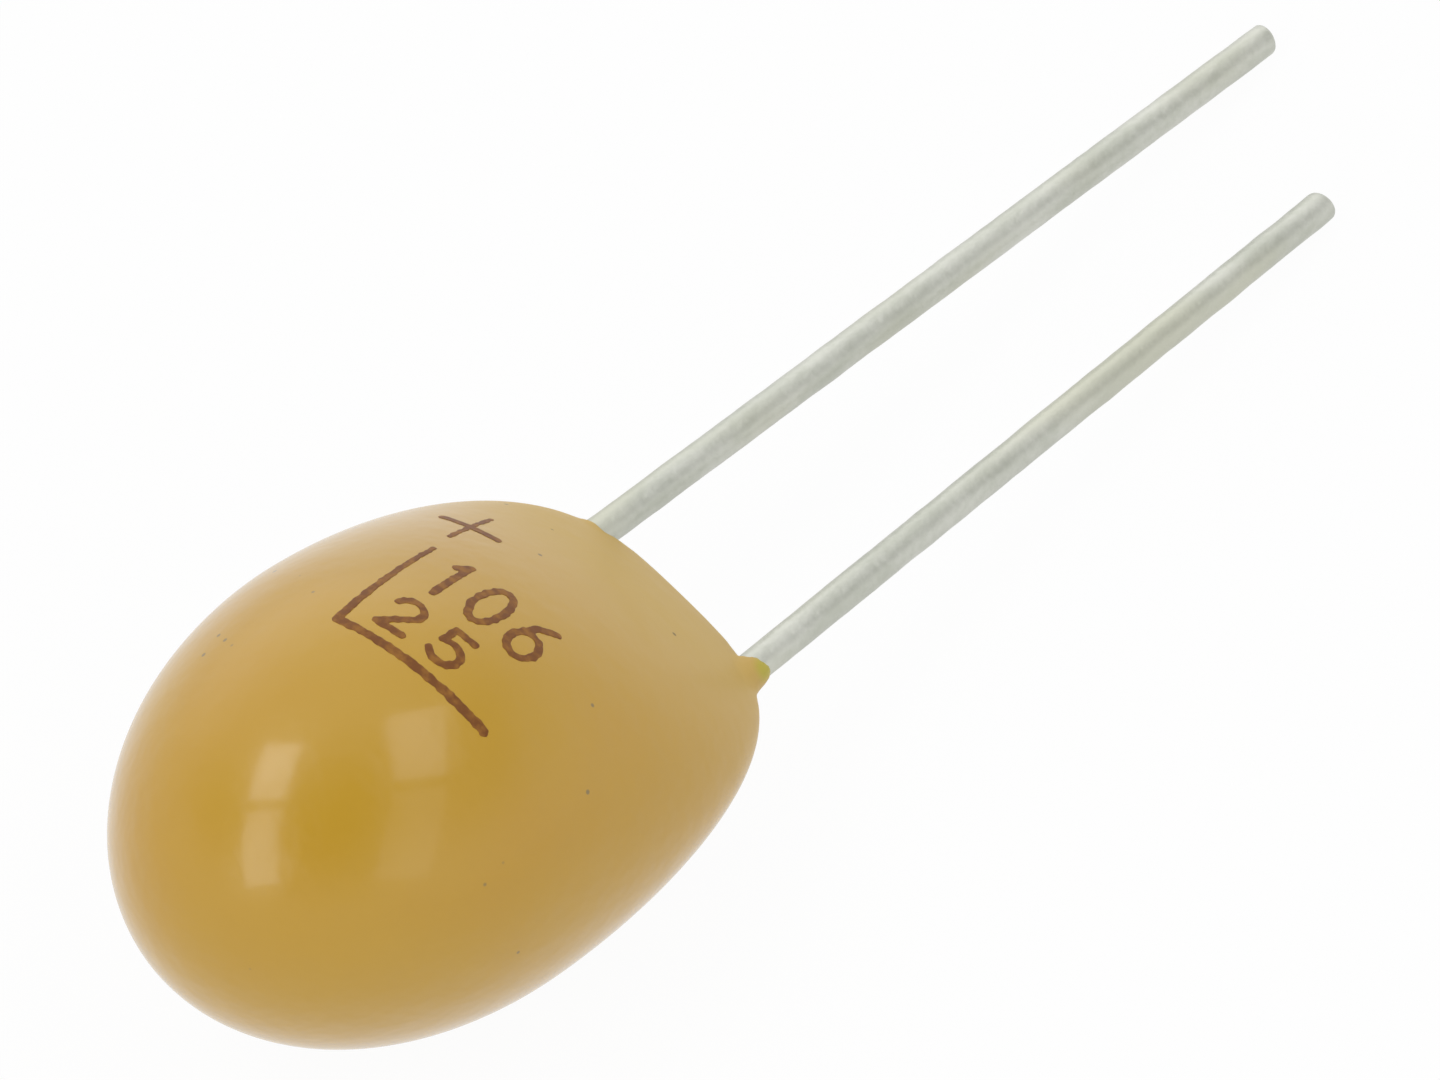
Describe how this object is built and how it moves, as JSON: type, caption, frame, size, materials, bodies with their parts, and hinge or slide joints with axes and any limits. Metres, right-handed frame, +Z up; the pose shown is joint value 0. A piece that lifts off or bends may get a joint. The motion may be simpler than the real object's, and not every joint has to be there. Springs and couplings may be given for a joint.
{
  "type": "tantalum capacitor",
  "caption": "Radial dipped bead capacitor: golden resin egg drawn out to a ridge, tinned wire leads, polarity plus and rating stamped on its face, coated slug inside.",
  "frame": {"origin": "centre of the box's base: the point on the resting surface midway across and along the whole part", "axes": "+Y from the nose of the bead towards the lead tips, +Z up from the resting surface, +X towards the cathode lead's side, with the stamped face up"},
  "size_m": [0.0074, 0.0248, 0.007],
  "materials": {
    "resin_coating": "glossy dipped epoxy, golden ochre",
    "tantalum_slug": "porous sintered tantalum, dark grey",
    "tantalum_riser": "drawn tantalum wire",
    "insulating_washer": "white insulating plastic",
    "manganese_dioxide_coat": "matte black manganese dioxide",
    "graphite_coat": "dark grey graphite",
    "silver_coat": "silver paint",
    "cathode_solder": "soft solder",
    "anode_lead": "matte tinned wire",
    "cathode_lead": "matte tinned wire",
    "stamped_marks": "dark brown ink"
  },
  "bodies": {
    "root": {"resin_coating": "resin_coating", "tantalum_slug": "tantalum_slug", "tantalum_riser": "tantalum_riser", "insulating_washer": "insulating_washer", "manganese_dioxide_coat": "manganese_dioxide_coat", "graphite_coat": "graphite_coat", "silver_coat": "silver_coat", "cathode_solder": "cathode_solder", "anode_lead": "anode_lead", "cathode_lead": "cathode_lead", "stamped_marks": "stamped_marks"}
  },
  "joints": []
}
